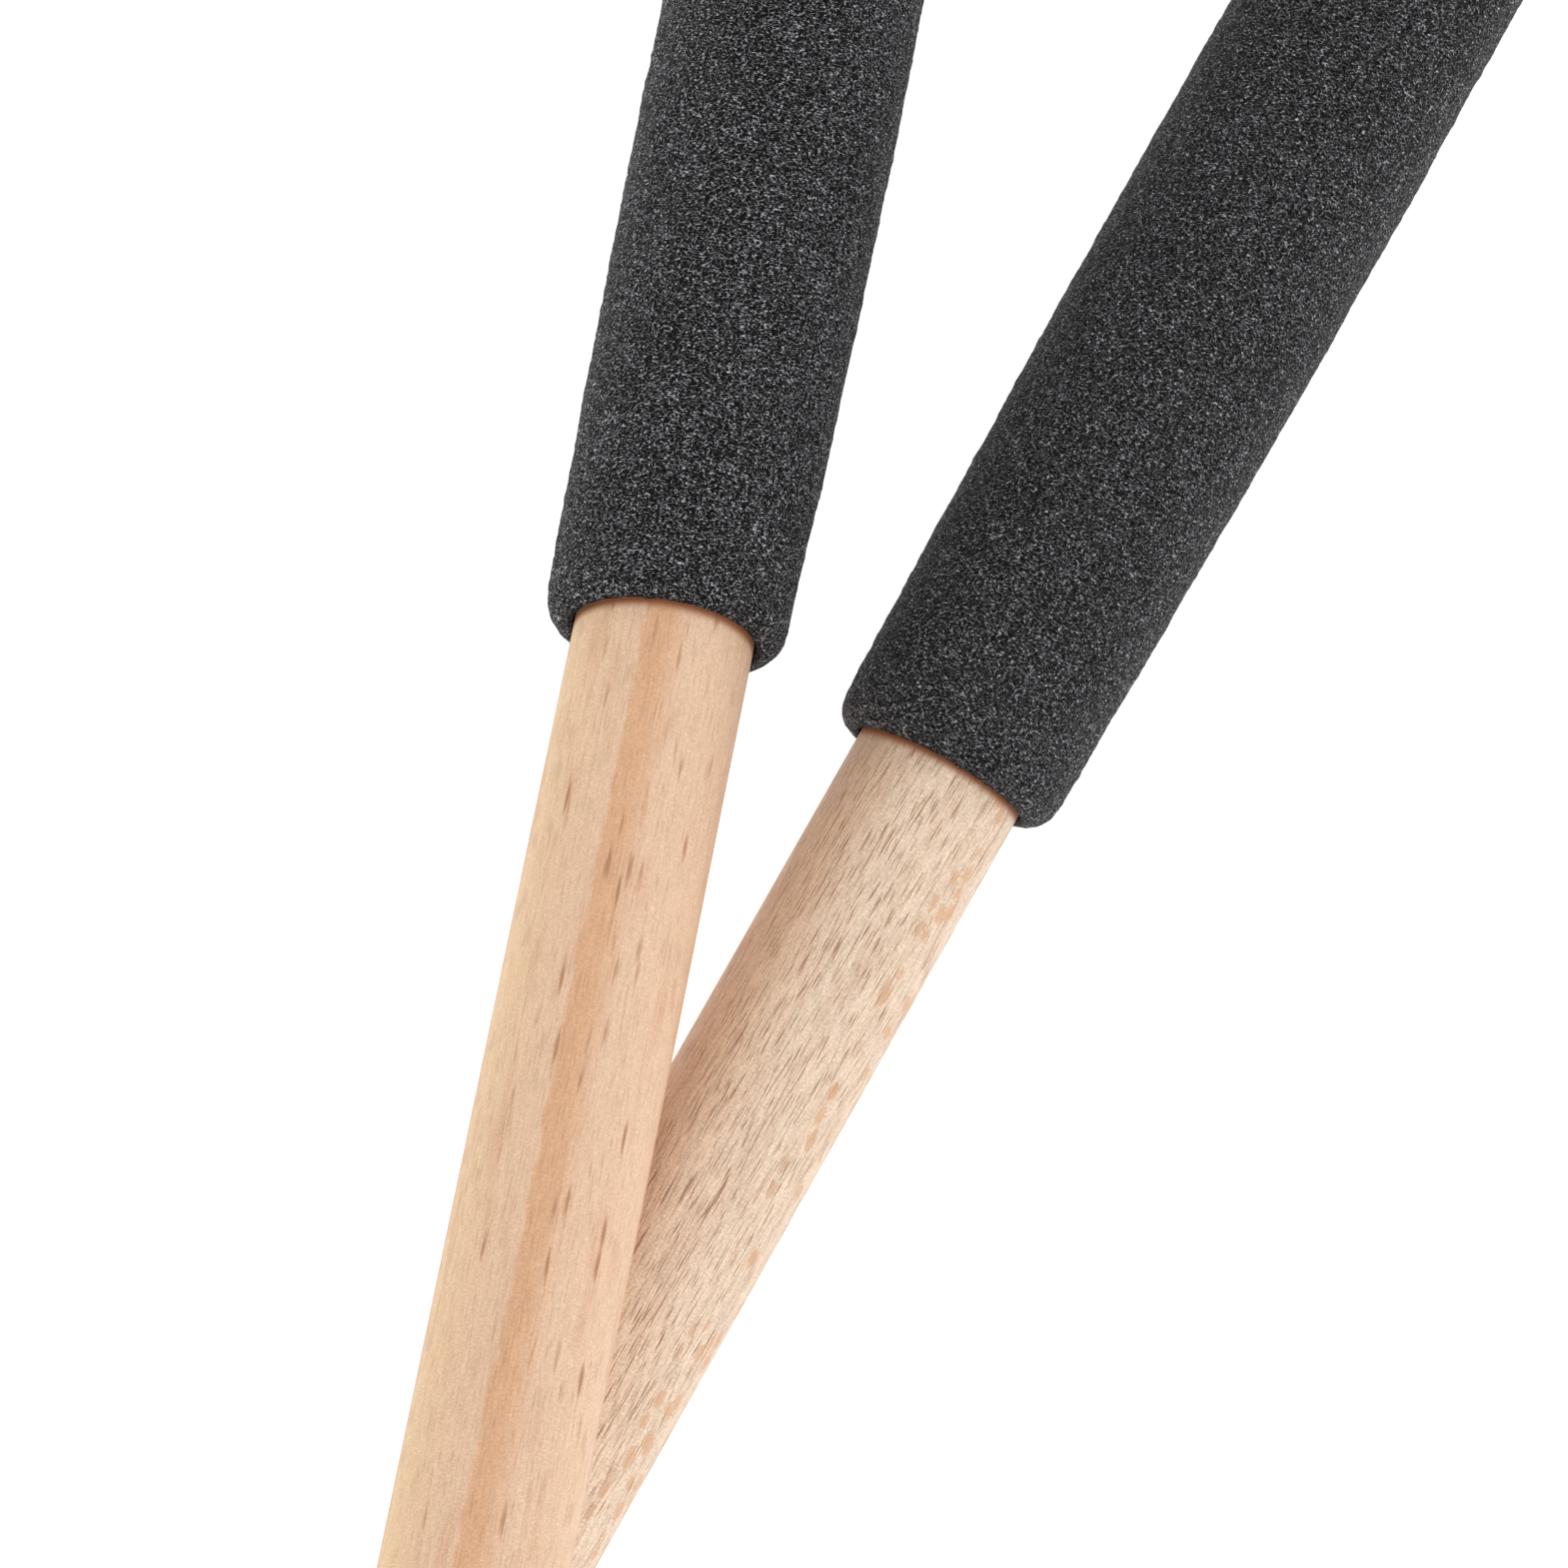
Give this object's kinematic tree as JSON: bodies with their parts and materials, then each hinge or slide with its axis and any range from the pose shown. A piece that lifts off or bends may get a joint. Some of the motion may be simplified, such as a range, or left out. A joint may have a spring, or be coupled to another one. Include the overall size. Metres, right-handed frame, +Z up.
{
  "type": "claves",
  "caption": "Round hardwood rhythm sticks with black foam hand grips, lying one across the other, for striking together.",
  "frame": {"origin": "on the table, under the middle of the pair's box as it lies", "axes": "+Z up; +X towards the tips, along the middle of the V that the two sticks make; the lower stick's handle is on the +Y side"},
  "size_m": [0.2496, 0.0894, 0.0356],
  "materials": {
    "beech": "sanded smooth, thin satin lacquer, fine pores and ray flecks",
    "foam": "matt finely pebbled skin of closed-cell foam rubber"
  },
  "bodies": {
    "lower_stick": {"lower_shaft": "beech", "lower_grip": "foam"},
    "upper_stick": {"upper_shaft": "beech", "upper_grip": "foam"}
  },
  "joints": [
    {"name": "upper_lift", "type": "slide", "parent": "lower_stick", "child": "upper_stick", "axis": [0, 0, 1], "range_m": [0, 0.12]}
  ]
}
